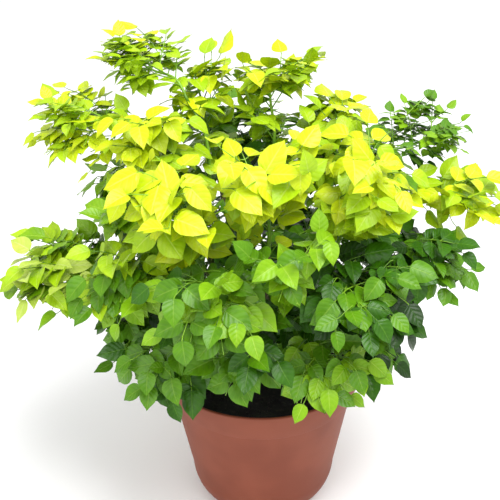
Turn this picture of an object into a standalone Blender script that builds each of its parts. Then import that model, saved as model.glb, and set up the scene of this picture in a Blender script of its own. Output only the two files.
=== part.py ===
"""A china doll plant in a terracotta-coloured pot, built from its separate parts.

Seven slender stems rise from the soil. Each ends in a crown mass of foliage, and
thinner boughs leave it for the masses round it. Every mass is one solid: its own
stem, side twigs that branch from that stem by a seeded rule, and leaves fused on.
Metres, +Z up. The origin is the centre of the pot's flat underside, and the plant's
front faces -Y. Azimuths are degrees seen from above: 0 is +X and -90 the front.
"""

from dataclasses import dataclass
from math import cos, pi, radians, sin, tau
from random import Random

import bmesh
import bpy
from mathutils import Matrix, Vector
from mathutils.bvhtree import BVHTree

# The pot: a turned plastic shell with a flared rim band, a taper and a round heel.
POT_HEIGHT = 0.132
RIM_RADIUS = 0.085
WALL = 0.0025
BAND_HEIGHT = 0.0276
BAND_FOOT_RADIUS = 0.0759
NECK_RADIUS = 0.0736
HEEL_RADIUS = 0.06
HEEL_HEIGHT = 0.027
FOOT_RADIUS = 0.0433
FLOOR = 0.003
DRAIN_HOLES = 5
DRAIN_RADIUS = 0.0045
DRAIN_CIRCLE = 0.028
TURN_STEPS = 32

# The soil fills the pot to a little under the rim.
SOIL_DROP = 0.008
SOIL_TOP = POT_HEIGHT - SOIL_DROP

# Neighbouring solids keep this gap, and foliage a wider one to every limb.
GAP = 0.0003
CLEARANCE = 0.0006

# Stems: radius at the soil flare, above it and at the tip.
FLARE_RADIUS = 0.0046
STEM_RADIUS = 0.0031
STEM_TIP_RADIUS = 0.0017
FLARE_HEIGHT = 0.012
STEM_POINTS = 8
STEM_SIDES = 8

# Boughs: the long leaf stalks that carry the outer masses.
BOUGH_RADIUS = 0.0017
BOUGH_TIP_RADIUS = 0.0012
BOUGH_POINTS = 5
BOUGH_SIDES = 6

# Twigs inside a mass are three-sided.
TWIG_SIDES = 3
TWIG_RADIUS = 0.00046
TWIG_TIP_RADIUS = 0.00046
OWN_STEM_TIP_RADIUS = 0.0011
OWN_STEM_POINTS = 4

# A leaf is a keeled blade of a few faces: the first four are shares of its length.
LEAF_WIDTH = 0.64
LEAF_THICKNESS = 0.03
LEAF_WIDEST = 0.42
LEAF_DROOP = 0.14
LEAF_STALK_RADIUS = 0.00014
TIP_SUNK = 0.0004
LEAF_SAG = (0.3, 0.8)
LEAF_TRIES = 14
ROOT_ZONE = 0.0025
FULLNESS = 2.8

# How far the side corners of a triangle of radius 1 stand out.
EDGE_OF_THREE = cos(radians(30))

# Leaves face away from this point, in the middle of the crown.
CROWN_HEART = Vector((0, 0, 0.2))


@dataclass(frozen=True)
class Stem:
    """One stem: the azimuth of its foot and tip, their distances from the pot's axis, and its tip's height."""

    name: str
    azimuth: float
    foot: float
    reach: float
    height: float


@dataclass(frozen=True)
class Tier:
    """What the masses of one tier share: the size of their space, the slope of their own stem, their leaves."""

    length: float
    width: float
    depth: float
    rise: float
    leaf: float
    twig_pairs: int = 3


@dataclass(frozen=True)
class Mass:
    """One mass of foliage: the stem that carries it and where its space lies.

    station is the height on its stem where its bough leaves, or None where the mass
    sits on the stem's own tip. An inner mass has no bough and sits on the stem's side.
    """

    name: str
    stem: str
    station: float | None
    azimuth: float
    reach: float
    height: float
    tier: Tier
    inner: bool = False


CROWN = Tier(0.124, 0.104, 0.090, 62, 0.042, 4)
MIDDLE = Tier(0.104, 0.108, 0.086, 14, 0.041)
LOW = Tier(0.096, 0.102, 0.076, -4, 0.037)
ARM = Tier(0.104, 0.090, 0.074, 6, 0.037)
BACK_CROWN = Tier(0.124, 0.104, 0.090, 62, 0.042)
SPRAY = Tier(0.090, 0.080, 0.072, 24, 0.028)
INNER = Tier(0.096, 0.096, 0.086, 24, 0.040)

STEMS = (
    Stem("stem_left", 176, 0.026, 0.050, 0.252),
    Stem("stem_front_left", -132, 0.026, 0.060, 0.236),
    Stem("stem_front", -84, 0.026, 0.046, 0.248),
    Stem("stem_front_right", -32, 0.026, 0.058, 0.244),
    Stem("stem_right", 22, 0.026, 0.054, 0.258),
    Stem("stem_back", 76, 0.026, 0.046, 0.280),
    Stem("stem_back_left", 126, 0.026, 0.056, 0.276),
)

MASSES = (
    Mass("crown_left", "stem_left", None, 170, 0.070, 0.310, CROWN),
    Mass("crown_front_left", "stem_front_left", None, -128, 0.084, 0.292, CROWN),
    Mass("crown_front", "stem_front", None, -90, 0.062, 0.308, CROWN),
    Mass("crown_front_right", "stem_front_right", None, -34, 0.080, 0.300, CROWN),
    Mass("crown_right", "stem_right", None, 38, 0.060, 0.308, CROWN),
    Mass("crown_back", "stem_back", None, 84, 0.054, 0.328, BACK_CROWN),
    Mass("crown_back_left", "stem_back_left", None, 126, 0.066, 0.326, BACK_CROWN),
    Mass("arm_left_low", "stem_left", 0.185, -177, 0.149, 0.213, ARM),
    Mass("arm_left_high", "stem_left", 0.226, 162, 0.132, 0.311, ARM),
    Mass("spray_top_left", "stem_back_left", 0.250, 142, 0.104, 0.348, SPRAY),
    Mass("spray_right_high", "stem_right", 0.236, 14, 0.121, 0.297, SPRAY),
    Mass("arm_right", "stem_right", 0.200, -2, 0.134, 0.270, ARM),
    Mass("arm_right_mid", "stem_front_right", 0.190, -16, 0.118, 0.244, ARM),
    Mass("right_low", "stem_front_right", 0.165, -36, 0.090, 0.186, LOW),
    Mass("front_right_low", "stem_front", 0.164, -66, 0.096, 0.192, LOW),
    Mass("front_low", "stem_front", 0.182, -98, 0.096, 0.200, LOW),
    Mass("front_left_low", "stem_front_left", 0.164, -132, 0.098, 0.184, LOW),
    Mass("left_low", "stem_left", 0.160, -160, 0.096, 0.186, LOW),
    Mass("left_mid", "stem_front_left", 0.198, -152, 0.108, 0.240, MIDDLE),
    Mass("front_mid", "stem_front", 0.206, -108, 0.108, 0.250, MIDDLE),
    Mass("front_right_mid", "stem_front_right", 0.208, -54, 0.106, 0.246, MIDDLE),
    Mass("inner_left", "stem_left", 0.222, -168, 0.090, 0.268, INNER, True),
    Mass("inner_front", "stem_front", 0.216, -80, 0.096, 0.276, INNER, True),
    Mass("inner_right", "stem_right", 0.226, 0, 0.094, 0.286, INNER, True),
    Mass("back_left", "stem_back_left", 0.200, 142, 0.116, 0.246, MIDDLE),
    Mass("back_mid", "stem_back", 0.212, 96, 0.112, 0.268, MIDDLE),
    Mass("back_right", "stem_right", 0.186, 44, 0.114, 0.250, MIDDLE),
    Mass("back_left_low", "stem_back_left", 0.165, 118, 0.104, 0.188, LOW),
    Mass("back_right_low", "stem_back", 0.165, 62, 0.104, 0.188, LOW),
)


def polar(azimuth, reach, height):
    """A point from its azimuth in degrees, its distance from the pot's axis and its height."""
    turn = radians(azimuth)
    return Vector((reach * cos(turn), reach * sin(turn), height))


def material(name, colour, roughness):
    """A plain Principled material in the part's own colour."""
    made = bpy.data.materials.new(name)
    made.use_nodes = True
    shader = made.node_tree.nodes["Principled BSDF"]
    shader.inputs["Base Color"].default_value = (*colour, 1)
    shader.inputs["Roughness"].default_value = roughness
    shader.inputs["Metallic"].default_value = 0
    return made


def add_object(name, data, collection, finish=None):
    """Links an object of this name to the collection and gives it its material."""
    made = bpy.data.objects.new(name, data)
    collection.objects.link(made)
    if finish:
        made.data.materials.append(finish)
    return made


def mesh_of(bm, name):
    """The bmesh as a mesh datablock, and the bmesh freed."""
    mesh = bpy.data.meshes.new(name)
    bm.to_mesh(mesh)
    bm.free()
    return mesh


def evaluated_mesh(obj, name):
    """A plain mesh of the object with its modifiers or its bevel applied, caps welded."""
    bpy.context.view_layer.update()
    graph = bpy.context.evaluated_depsgraph_get()
    mesh = bpy.data.meshes.new_from_object(obj.evaluated_get(graph))
    mesh.name = name
    bm = bmesh.new()
    bm.from_mesh(mesh)
    bmesh.ops.remove_doubles(bm, verts=bm.verts, dist=1e-6)
    bm.to_mesh(mesh)
    bm.free()
    return mesh


def turned(name, profile, collection, finish):
    """A solid turned round Z from a profile of (radius, height) points that runs down its outer side."""
    bm = bmesh.new()
    points = [bm.verts.new((radius, 0, height)) for radius, height in profile]
    for first, second in zip(points, points[1:]):
        bm.edges.new((first, second))
    made = add_object(name, mesh_of(bm, name), collection, finish)
    screw = made.modifiers.new("turn", "SCREW")
    screw.angle = tau
    screw.steps = screw.render_steps = TURN_STEPS
    screw.use_merge_vertices = True
    screw.merge_threshold = 1e-5
    screw.use_smooth_shade = True
    return made


def heel(radius, foot_radius, height, low, steps):
    """The pot's rounded heel as a quarter ellipse of (radius, height) points, from its top down."""
    angles = [pi / 2 * step / steps for step in range(1, steps + 1)]
    return [
        (foot_radius + (radius - foot_radius) * cos(angle), low + (height - low) * (1 - sin(angle)))
        for angle in angles
    ]


def inner_heel():
    """The pot's inner heel from its foot up, one wall inside the outer one."""
    return heel(HEEL_RADIUS - WALL, FOOT_RADIUS - WALL, HEEL_HEIGHT, FLOOR, 3)[::-1]


BAND_FOOT = POT_HEIGHT - BAND_HEIGHT
INNER_RIM_RADIUS = RIM_RADIUS - WALL
INNER_BAND_RADIUS = BAND_FOOT_RADIUS - WALL
INNER_NECK_RADIUS = NECK_RADIUS - WALL
STEP_HEIGHT = 0.002


def build_pot(parts, cutters, finish):
    """The pot: its inner side from the floor up, the lip, then its outer side down to the flat foot."""
    profile = [(0, FLOOR)]
    profile += inner_heel()
    profile += [
        (HEEL_RADIUS - WALL, HEEL_HEIGHT),
        (INNER_NECK_RADIUS, BAND_FOOT - STEP_HEIGHT),
        (INNER_BAND_RADIUS, BAND_FOOT),
        (INNER_RIM_RADIUS, POT_HEIGHT - WALL / 4),
        (INNER_RIM_RADIUS + WALL / 3, POT_HEIGHT),
        (RIM_RADIUS - WALL / 3, POT_HEIGHT),
        (RIM_RADIUS, POT_HEIGHT - WALL / 3),
        (BAND_FOOT_RADIUS, BAND_FOOT),
        (NECK_RADIUS, BAND_FOOT - STEP_HEIGHT / 3),
        (HEEL_RADIUS, HEEL_HEIGHT),
    ]
    profile += heel(HEEL_RADIUS, FOOT_RADIUS, HEEL_HEIGHT, 0, 4)
    profile += [(0, 0)]
    pot = turned("pot", profile, parts, finish)
    for hole in range(DRAIN_HOLES):
        bpy.ops.mesh.primitive_cylinder_add(
            vertices=10,
            radius=DRAIN_RADIUS,
            depth=FLOOR * 4,
            location=polar(90 + hole * 360 / DRAIN_HOLES, DRAIN_CIRCLE, FLOOR / 2),
        )
        cutter = bpy.context.object
        cutter.name = f"drain_cutter_{hole + 1}"
        cutter.hide_render = True
        cutter.display_type = "WIRE"
        for home in list(cutter.users_collection):
            home.objects.unlink(cutter)
        cutters.objects.link(cutter)
    drains = pot.modifiers.new("drain_holes", "BOOLEAN")
    drains.operation = "DIFFERENCE"
    drains.solver = "EXACT"
    drains.operand_type = "COLLECTION"
    drains.collection = cutters
    return pot


def build_soil(parts, finish):
    """The soil, one gap inside the pot's walls, with a flat top that the stems stand on."""
    share = (SOIL_TOP - BAND_FOOT) / BAND_HEIGHT
    top_radius = INNER_BAND_RADIUS + (INNER_RIM_RADIUS - INNER_BAND_RADIUS) * share
    profile = [
        (0, SOIL_TOP),
        (top_radius - GAP * 1.5, SOIL_TOP),
        (INNER_BAND_RADIUS - GAP * 1.5, BAND_FOOT),
        (INNER_NECK_RADIUS - GAP * 1.5, BAND_FOOT - STEP_HEIGHT),
        (HEEL_RADIUS - WALL - GAP * 1.5, HEEL_HEIGHT),
    ]
    profile += [
        (radius - GAP * 1.5, height + GAP) for radius, height in inner_heel()[::-1]
    ]
    profile += [(0, FLOOR + GAP)]
    return turned("soil", profile, parts, finish)


def bezier(start, start_pull, end_pull, end, count):
    """Points along a cubic curve."""
    points = []
    for step in range(count):
        t = step / (count - 1)
        u = 1 - t
        points.append(
            start * u**3 + start_pull * 3 * u * u * t + end_pull * 3 * u * t * t + end * t**3
        )
    return points


def limb(name, route, radii, sides, collection, finish):
    """A tapering limb: a curve along its route, with flat caps."""
    curve = bpy.data.curves.new(name, "CURVE")
    curve.dimensions = "3D"
    curve.bevel_depth = max(radii)
    curve.bevel_resolution = (sides - 4) // 2
    curve.use_fill_caps = True
    spline = curve.splines.new("POLY")
    spline.points.add(len(route) - 1)
    for point, place, radius in zip(spline.points, route, radii):
        point.co = (*place, 1)
        point.radius = radius / max(radii)
    spline.use_smooth = True
    return add_object(name, curve, collection, finish)


def stem_route(stem):
    """A stem's centre line: upright through its flare, then leaning out to its tip."""
    foot = polar(stem.azimuth, stem.foot, SOIL_TOP + GAP)
    neck = foot + Vector((0, 0, FLARE_HEIGHT))
    tip = polar(stem.azimuth, stem.reach, stem.height)
    rise = tip.z - neck.z
    pull = neck + Vector((0, 0, rise * 0.4))
    lean = tip - (tip - pull).normalized() * rise * 0.3
    collar = foot + Vector((0, 0, FLARE_HEIGHT * 0.35))
    return [foot, collar] + bezier(neck, pull, lean, tip, STEM_POINTS - 2)


def stem_radii():
    """Radii along a stem: the root flare at the soil, then a long taper."""
    above = STEM_POINTS - 2
    taper = [
        STEM_RADIUS + (STEM_TIP_RADIUS - STEM_RADIUS) * step / (above - 1)
        for step in range(above)
    ]
    return [FLARE_RADIUS, (FLARE_RADIUS + STEM_RADIUS * 2) / 3] + taper


def along(route, height):
    """The point of a rising route at this height, the route's direction there and the share passed."""
    for step, (low, high) in enumerate(zip(route, route[1:])):
        if low.z <= height <= high.z:
            share = (height - low.z) / (high.z - low.z)
            return low.lerp(high, share), (high - low).normalized(), step + share
    raise ValueError("a bough leaves its stem outside the stem's height")


def axes_of(mass):
    """The mass's own directions: along its stem, sideways and up from both."""
    outward = polar(mass.azimuth, 1, 0)
    ahead = outward * cos(radians(mass.tier.rise)) + Vector((0, 0, sin(radians(mass.tier.rise))))
    side = Vector((0, 0, 1)).cross(outward)
    return ahead, side, ahead.cross(side)


def centre_of(mass):
    """The centre of the mass's space."""
    return polar(mass.azimuth, mass.reach, mass.height)


def entry_of(mass):
    """Where the bough that carries the mass enters its space."""
    ahead, _, _ = axes_of(mass)
    return centre_of(mass) - ahead * (mass.tier.length / 2 * 0.94)


def stem_seat(mass, route, radii, aim):
    """A point one gap off the stem's side at the mass's station, towards aim, and the way out there."""
    start, rise, passed = along(route, mass.station)
    step = int(passed)
    stem_radius = radii[step] + (radii[step + 1] - radii[step]) * (passed - step)
    way = aim - start
    out = (way - rise * way.dot(rise)).normalized()
    return start + out * (stem_radius + GAP), out


def bough_route(mass, route, radii):
    """A bough's centre line: square out of its stem, then along its mass's direction."""
    ahead, _, _ = axes_of(mass)
    entry = entry_of(mass)
    seat, out = stem_seat(mass, route, radii, entry)
    pull = (entry - seat).length * 0.38
    route = bezier(seat, seat + out * pull, entry - ahead * pull, entry, BOUGH_POINTS)
    route[1] = seat + out * (route[1] - seat).length
    return route


class Space:
    """The room of one mass: an ellipsoid, cut back by a plane against each near neighbour."""

    def __init__(self, mass):
        self.mass = mass
        self.centre = centre_of(mass)
        self.axes = axes_of(mass)
        self.halves = (mass.tier.length / 2, mass.tier.width / 2, mass.tier.depth / 2)
        self.planes = []

    def support(self, direction):
        """How far the ellipsoid reaches from its centre in a direction."""
        reach = [axis.dot(direction) * half for axis, half in zip(self.axes, self.halves)]
        return Vector(reach).length

    def part_from(self, other):
        """Adds the plane between this space and another that would overlap it."""
        way = other.centre - self.centre
        direction = way.normalized()
        mine, theirs = self.support(direction), other.support(-direction)
        if mine + theirs > way.length:
            share = mine / (mine + theirs)
            self.planes.append((direction, self.centre.dot(direction) + way.length * share - CLEARANCE))

    def holds(self, point):
        """Whether a point lies in this space."""
        offset = point - self.centre
        spread = sum(abs(axis.dot(offset) / half) ** FULLNESS for axis, half in zip(self.axes, self.halves))
        return spread <= 1 and all(point.dot(normal) <= limit for normal, limit in self.planes)

    def way_out(self, start, direction, longest):
        """How far a straight twig can run from start before it leaves the space."""
        steps = 24
        for step in range(1, steps + 1):
            if not self.holds(start + direction * longest * step / steps):
                return longest * (step - 1) / steps
        return longest


def sweep(route, radii, name):
    """A closed three-sided twig along a route: a triangle extruded from point to point."""
    bm = bmesh.new()
    directions = [(b - a).normalized() for a, b in zip(route, route[1:])]
    directions.append(directions[-1])
    turn = directions[0].to_track_quat("Z", "Y").to_matrix().to_4x4()
    bmesh.ops.create_circle(
        bm, segments=TWIG_SIDES, radius=radii[0], matrix=Matrix.Translation(route[0]) @ turn
    )
    edges = bm.edges[:]
    for index in range(1, len(route)):
        extruded = bmesh.ops.extrude_edge_only(bm, edges=edges)["geom"]
        edges = [part for part in extruded if isinstance(part, bmesh.types.BMEdge)]
        before, after = route[index - 1], route[index]
        bend = directions[index - 1].rotation_difference(directions[index]).to_matrix()
        swell = radii[index] / radii[index - 1]
        for vert in {vert for edge in edges for vert in edge.verts}:
            vert.co = after + bend @ ((vert.co - before) * swell)
    bmesh.ops.holes_fill(bm, edges=bm.edges)
    bmesh.ops.recalc_face_normals(bm, faces=bm.faces)
    if bm.calc_volume(signed=True) < 0:
        bmesh.ops.reverse_faces(bm, faces=bm.faces)
    return mesh_of(bm, name)


def leaf_mesh(root, direction, normal, length, name):
    """A leaf on its own three-sided stalk: widest below its middle, keeled along its rib, its tip hanging."""
    bm = bmesh.new()
    bmesh.ops.create_cone(bm, cap_ends=True, segments=3, radius1=1, radius2=1, depth=2)
    blade_end = next(face for face in bm.faces if face.calc_center_median().z > 0.9)
    tip = bmesh.ops.poke(bm, faces=[blade_end])["verts"][0]
    across = normal.cross(direction).normalized()
    upward = direction.cross(across).normalized()
    for vert in bm.verts:
        x, y, z = vert.co
        if vert == tip:
            vert.co = root + direction * length - upward * LEAF_DROOP * length
        elif z > 0:
            reach = -x / EDGE_OF_THREE * LEAF_WIDTH / 2 * length
            lift = -max(y, 0) * LEAF_THICKNESS * length
            vert.co = root + direction * LEAF_WIDEST * length + across * reach + upward * lift
        else:
            vert.co = root - (across * x + upward * y) * LEAF_STALK_RADIUS
    return mesh_of(bm, name)


def swollen(mesh, by):
    """The points and faces of a mesh whose surface is moved out by a distance."""
    points = [vert.co + vert.normal * by for vert in mesh.vertices]
    return points, [face.vertices[:] for face in mesh.polygons]


def guard_tree(shapes):
    """One search tree of several lists of points and faces."""
    points, faces = [], []
    for more_points, more_faces in shapes:
        first = len(points)
        points += more_points
        faces += [[first + corner for corner in face] for face in more_faces]
    return BVHTree.FromPolygons(points, faces)


def keep_outer_shell(mesh):
    """Fills hollows that fusing sealed and drops loose scraps: only the largest shell stays."""
    bm = bmesh.new()
    bm.from_mesh(mesh)
    unseen = set(bm.verts)
    shells = []
    while unseen:
        shell = {unseen.pop()}
        edge_of_shell = list(shell)
        while edge_of_shell:
            vert = edge_of_shell.pop()
            for edge in vert.link_edges:
                other = edge.other_vert(vert)
                if other in unseen:
                    unseen.remove(other)
                    shell.add(other)
                    edge_of_shell.append(other)
        shells.append(shell)
    largest = max(shells, key=len)
    bmesh.ops.delete(bm, geom=[vert for vert in bm.verts if vert not in largest], context="VERTS")
    bm.to_mesh(mesh)
    bm.free()


class Foliage:
    """Grows one mass: its own stem, side twigs in pairs and leaves, each kept only where it has room."""

    def __init__(self, space, limb_end, seed):
        self.space = space
        self.mass = space.mass
        self.limb_end = limb_end
        self.random = Random(seed)
        self.guard = None
        self.meshes = []
        self.points = []
        self.faces = []
        self.leaves = 0
        self.route, radii = self.own_stem()
        self.take(sweep(self.route, radii, "own_stem"))

    def fits(self, mesh, root):
        """Whether a piece stays in its mass's space, clear of every limb and, past its root, of other pieces."""
        points = [vert.co.copy() for vert in mesh.vertices]
        if not all(self.space.holds(point) for point in points):
            return False
        faces = [face.vertices[:] for face in mesh.polygons]
        if BVHTree.FromPolygons(points, faces).overlap(self.guard):
            return False
        middle = sum(points, Vector()) / len(points)
        share = 1 - ROOT_ZONE / (middle - root).length
        trimmed = [middle.lerp(point, share) for point in points]
        others = BVHTree.FromPolygons(self.points, self.faces)
        return not BVHTree.FromPolygons(trimmed, faces).overlap(others)

    def take(self, mesh):
        """Adds a piece to the mass."""
        first = len(self.points)
        self.points += [vert.co.copy() for vert in mesh.vertices]
        self.faces += [[first + corner for corner in face.vertices] for face in mesh.polygons]
        self.meshes.append(mesh)

    def keep(self, mesh, root):
        """Adds the piece that starts at root if it fits, and says whether it does."""
        if self.fits(mesh, root):
            self.take(mesh)
            return True
        bpy.data.meshes.remove(mesh)
        return False

    def leaf(self, root, direction):
        """One leaf that hangs under its weight and turns its face out of the crown."""
        outward = (root - CROWN_HEART).normalized()
        size = self.mass.tier.leaf * self.random.uniform(0.9, 1.1)
        for attempt in range(LEAF_TRIES):
            swing = Vector([self.random.uniform(-1, 1) for _ in range(3)]) * (0.2 + 0.06 * attempt)
            sag = Vector((0, 0, -self.random.uniform(*LEAF_SAG)))
            aim = (direction + sag + swing).normalized()
            face = (outward + Vector((0, 0, 0.7)) + swing * 0.6).normalized()
            if self.keep(leaf_mesh(root, aim, face, size * (1 - 0.03 * attempt), "leaf"), root):
                self.leaves += 1
                return

    def own_stem(self):
        """The route and radii of the mass's own stem, from its limb's cap towards the far end of its space."""
        ahead, _, _ = self.space.axes
        tip, first, radius = self.limb_end
        start = tip + first * GAP
        far = self.space.centre + ahead * self.mass.tier.length / 2
        way = far - start
        end = start + way * (1 - self.mass.tier.leaf * 0.95 / way.length)
        pull = (end - start).length * 0.35
        route = bezier(start, start + first * pull, end - ahead * pull, end, OWN_STEM_POINTS)
        route[1] = start + first * (route[1] - start).length
        radii = [
            radius + (OWN_STEM_TIP_RADIUS - radius) * step / (OWN_STEM_POINTS - 1)
            for step in range(OWN_STEM_POINTS)
        ]
        return route, radii

    def side_twig(self, root, direction):
        """A side twig that leaves room for its leaves: a pair along it and one at its tip."""
        leaf = self.mass.tier.leaf
        room = self.space.way_out(root, direction, self.mass.tier.width)
        length = max(room - leaf * 0.8, leaf * 0.34)
        tip = root + direction * length
        if not self.keep(sweep([root, tip], [TWIG_RADIUS, TWIG_TIP_RADIUS], "twig"), root):
            return
        side = direction.cross(Vector((0, 0, 1))).normalized()
        for hand, share in ((-1, 0.5), (1, 0.62)):
            self.leaf(root.lerp(tip, share), (direction * 0.5 + side * hand).normalized())
        self.leaf(tip - direction * TIP_SUNK, direction)

    def grow(self, guard):
        """Builds the side twigs and leaves, clear of the guard tree."""
        self.guard = guard
        route = self.route
        ahead, side, up = self.space.axes
        pairs = self.mass.tier.twig_pairs
        for pair in range(pairs):
            place = (0.18 + 0.7 * pair / (pairs - 1)) * (OWN_STEM_POINTS - 1)
            step = int(place)
            root = route[step].lerp(route[step + 1], place - step)
            roll = radians((40 if pair % 2 else -25) + self.random.uniform(-15, 15))
            for hand in (-1, 1):
                spread = radians(self.random.uniform(50, 70))
                across = (side * cos(roll) + up * sin(roll)) * hand
                self.side_twig(root, ahead * cos(spread) + across * sin(spread))
        tip, last = route[-1], (route[-1] - route[-2]).normalized()
        for turn in range(3):
            angle = tau * turn / 3 + self.random.uniform(-0.4, 0.4)
            fan = side * cos(angle) + up * sin(angle)
            root = tip - last * (TIP_SUNK + turn * ROOT_ZONE / 2)
            self.leaf(root, (last + fan * 0.9).normalized())

    def join(self, collection, finish):
        """Fuses the pieces into one solid with a single union."""
        pieces = bpy.data.collections.new(self.mass.name + "_pieces")
        bpy.context.scene.collection.children.link(pieces)
        first, *others = self.meshes
        made = add_object(self.mass.name, first, collection)
        for mesh in others:
            add_object("piece", mesh, pieces)
        union = made.modifiers.new("fuse", "BOOLEAN")
        union.operation = "UNION"
        union.solver = "MANIFOLD"
        union.operand_type = "COLLECTION"
        union.collection = pieces
        mesh = evaluated_mesh(made, self.mass.name)
        keep_outer_shell(mesh)
        made.modifiers.clear()
        made.data = mesh
        mesh.materials.clear()
        mesh.materials.append(finish)
        for piece in list(pieces.objects):
            bpy.data.objects.remove(piece)
        bpy.data.collections.remove(pieces)
        return made


def clear_scene():
    """Removes every object that the scene starts with."""
    for obj in list(bpy.data.objects):
        bpy.data.objects.remove(obj)


def main():
    """Builds the pot, soil, stems, boughs and masses."""
    clear_scene()
    parts = bpy.data.collections.new("potted_china_doll_plant")
    cutters = bpy.data.collections.new("cutters")
    bpy.context.scene.collection.children.link(parts)
    bpy.context.scene.collection.children.link(cutters)
    terracotta = material("terracotta_plastic", (0.29, 0.083, 0.039), 0.6)
    peat = material("peat_soil", (0.006, 0.005, 0.004), 0.95)
    bark = material("green_bark", (0.07, 0.11, 0.02), 0.6)
    stalk = material("green_stalk", (0.16, 0.28, 0.03), 0.5)
    leaf_green = material("leaf_green", (0.20, 0.42, 0.02), 0.4)
    solids = [build_pot(parts, cutters, terracotta), build_soil(parts, peat)]
    routes = {stem.name: stem_route(stem) for stem in STEMS}
    radii = stem_radii()
    for stem in STEMS:
        solids.append(limb(stem.name, routes[stem.name], radii, STEM_SIDES, parts, bark))
    bough_radii = [
        BOUGH_RADIUS + (BOUGH_TIP_RADIUS - BOUGH_RADIUS) * step / (BOUGH_POINTS - 1)
        for step in range(BOUGH_POINTS)
    ]
    ends = {}
    for mass in MASSES:
        route, radius = routes[mass.stem], STEM_TIP_RADIUS
        if mass.inner:
            seat, out = stem_seat(mass, route, radii, centre_of(mass))
            ends[mass.name] = (seat - out * GAP, out, BOUGH_TIP_RADIUS)
            continue
        if mass.station is not None:
            route, radius = bough_route(mass, route, radii), BOUGH_TIP_RADIUS
            solids.append(limb("bough_" + mass.name, route, bough_radii, BOUGH_SIDES, parts, stalk))
        ends[mass.name] = (route[-1], (route[-1] - route[-2]).normalized(), radius)
    spaces = [Space(mass) for mass in MASSES]
    for space in spaces:
        for other in spaces:
            if other is not space:
                space.part_from(other)
    limbs = [swollen(evaluated_mesh(solid, "limb"), CLEARANCE) for solid in solids]
    growths = [Foliage(space, ends[space.mass.name], seed) for seed, space in enumerate(spaces)]
    own_stems = [swollen(growth.meshes[0], CLEARANCE) for growth in growths]
    for number, growth in enumerate(growths):
        others = own_stems[:number] + own_stems[number + 1 :]
        growth.grow(guard_tree(limbs + others))
    for growth in growths:
        made = growth.join(parts, leaf_green)
        print(growth.mass.name, "leaves", growth.leaves, "faces", len(made.data.polygons))
    print("leaves in all", sum(growth.leaves for growth in growths))


main()
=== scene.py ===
"""Looks of a china doll plant in a terracotta-coloured pot.

The plant is grown here by the rule that its solids follow, from the same stems and
masses, and carried on to leaf stalks, side twigs and pointed glossy leaflets. Metres,
+Z up, the plant's front faces -Y. Azimuths are degrees seen from above: 0 is +X.
"""

import logging
from dataclasses import dataclass, field
from enum import Enum
from math import cos, pi, radians, sin, tau
from random import Random

import bmesh
import bpy
from mathutils import Matrix, Vector, noise
from mathutils.bvhtree import BVHTree


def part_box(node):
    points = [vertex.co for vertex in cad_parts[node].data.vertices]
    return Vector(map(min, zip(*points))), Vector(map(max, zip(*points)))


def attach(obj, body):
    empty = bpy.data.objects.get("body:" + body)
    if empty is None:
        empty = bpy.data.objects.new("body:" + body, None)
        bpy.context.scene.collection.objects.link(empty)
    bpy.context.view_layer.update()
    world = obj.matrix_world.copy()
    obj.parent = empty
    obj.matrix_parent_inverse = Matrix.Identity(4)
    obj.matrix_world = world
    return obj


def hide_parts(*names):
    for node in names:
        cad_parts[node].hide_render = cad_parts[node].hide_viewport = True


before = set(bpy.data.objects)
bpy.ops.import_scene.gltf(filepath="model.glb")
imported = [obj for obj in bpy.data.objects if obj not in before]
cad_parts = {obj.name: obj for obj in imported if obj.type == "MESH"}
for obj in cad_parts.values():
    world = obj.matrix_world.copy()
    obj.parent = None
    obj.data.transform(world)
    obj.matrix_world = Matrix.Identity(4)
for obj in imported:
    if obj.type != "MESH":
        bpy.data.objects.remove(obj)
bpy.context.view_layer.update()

BODY = "root"
MM = 0.001
UP = Vector((0, 0, 1))
# Vertices nearer than this are one vertex.
WELD = 1e-6

# The sockets of a Mix node that carry colour.
MIX_FIRST, MIX_SECOND, MIX_OUT = 6, 7, 2

log = logging.getLogger("china_doll_plant")


class Slot(Enum):
    """The record's material slots."""

    POT = "pot"
    SOIL = "soil"
    BARK = "bark"
    STALK = "stalk"
    FOLIAGE = "foliage"


class Tone(Enum):
    """Ages of leaflet from the newest to the oldest, the deep and dark ones partly painted shade on low
    and inner sprays, and a pale one that is painted light, a leaflet washed out by full light.
    """

    LIME = "lime"
    BRIGHT = "bright"
    FRESH = "fresh"
    MID = "mid"
    DEEP = "deep"
    DARK = "dark"
    # Painted light: a paler green that stands in for full light washing out the leaflets.
    PAINTED_LIGHT_PALE = "pale"


def linear(code: str) -> tuple[float, float, float, float]:
    """Turns an sRGB hex colour into Blender's linear RGBA.

    Args:
        code: six hex digits, such as "8fc31f".

    Returns:
        Linear red, green, blue and an alpha of 1.
    """
    channels = [int(code[step : step + 2], 16) / 255 for step in (0, 2, 4)]
    bent = [c / 12.92 if c <= 0.04045 else ((c + 0.055) / 1.055) ** 2.4 for c in channels]
    return (bent[0], bent[1], bent[2], 1.0)


def add_node(
    tree: bpy.types.NodeTree, kind: str, settings: dict | None = None, links: dict | None = None
) -> bpy.types.Node:
    """Adds a node, sets its properties and sockets, and links its inputs.

    Args:
        tree: the material's node tree.
        kind: the node's type, such as "ShaderNodeTexNoise".
        settings: values by name or socket number, for a property or an input socket.
        links: output sockets by the name or number of the input that they feed.

    Returns:
        The new node.
    """
    node = tree.nodes.new(kind)
    for name, value in (settings or {}).items():
        if isinstance(name, str) and hasattr(node, name):
            setattr(node, name, value)
        else:
            node.inputs[name].default_value = value
    for name, source in (links or {}).items():
        tree.links.new(source, node.inputs[name])
    return node


def new_material(
    name: str, settings: dict
) -> tuple[bpy.types.Material, bpy.types.NodeTree, bpy.types.Node]:
    """A material with a Principled shader.

    Args:
        name: the material's name.
        settings: the shader's constant sockets.

    Returns:
        The material, its node tree and its shader.
    """
    made = bpy.data.materials.new(name)
    made.use_nodes = True
    shader = made.node_tree.nodes["Principled BSDF"]
    for socket, value in settings.items():
        shader.inputs[socket].default_value = value
    return made, made.node_tree, shader


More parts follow.
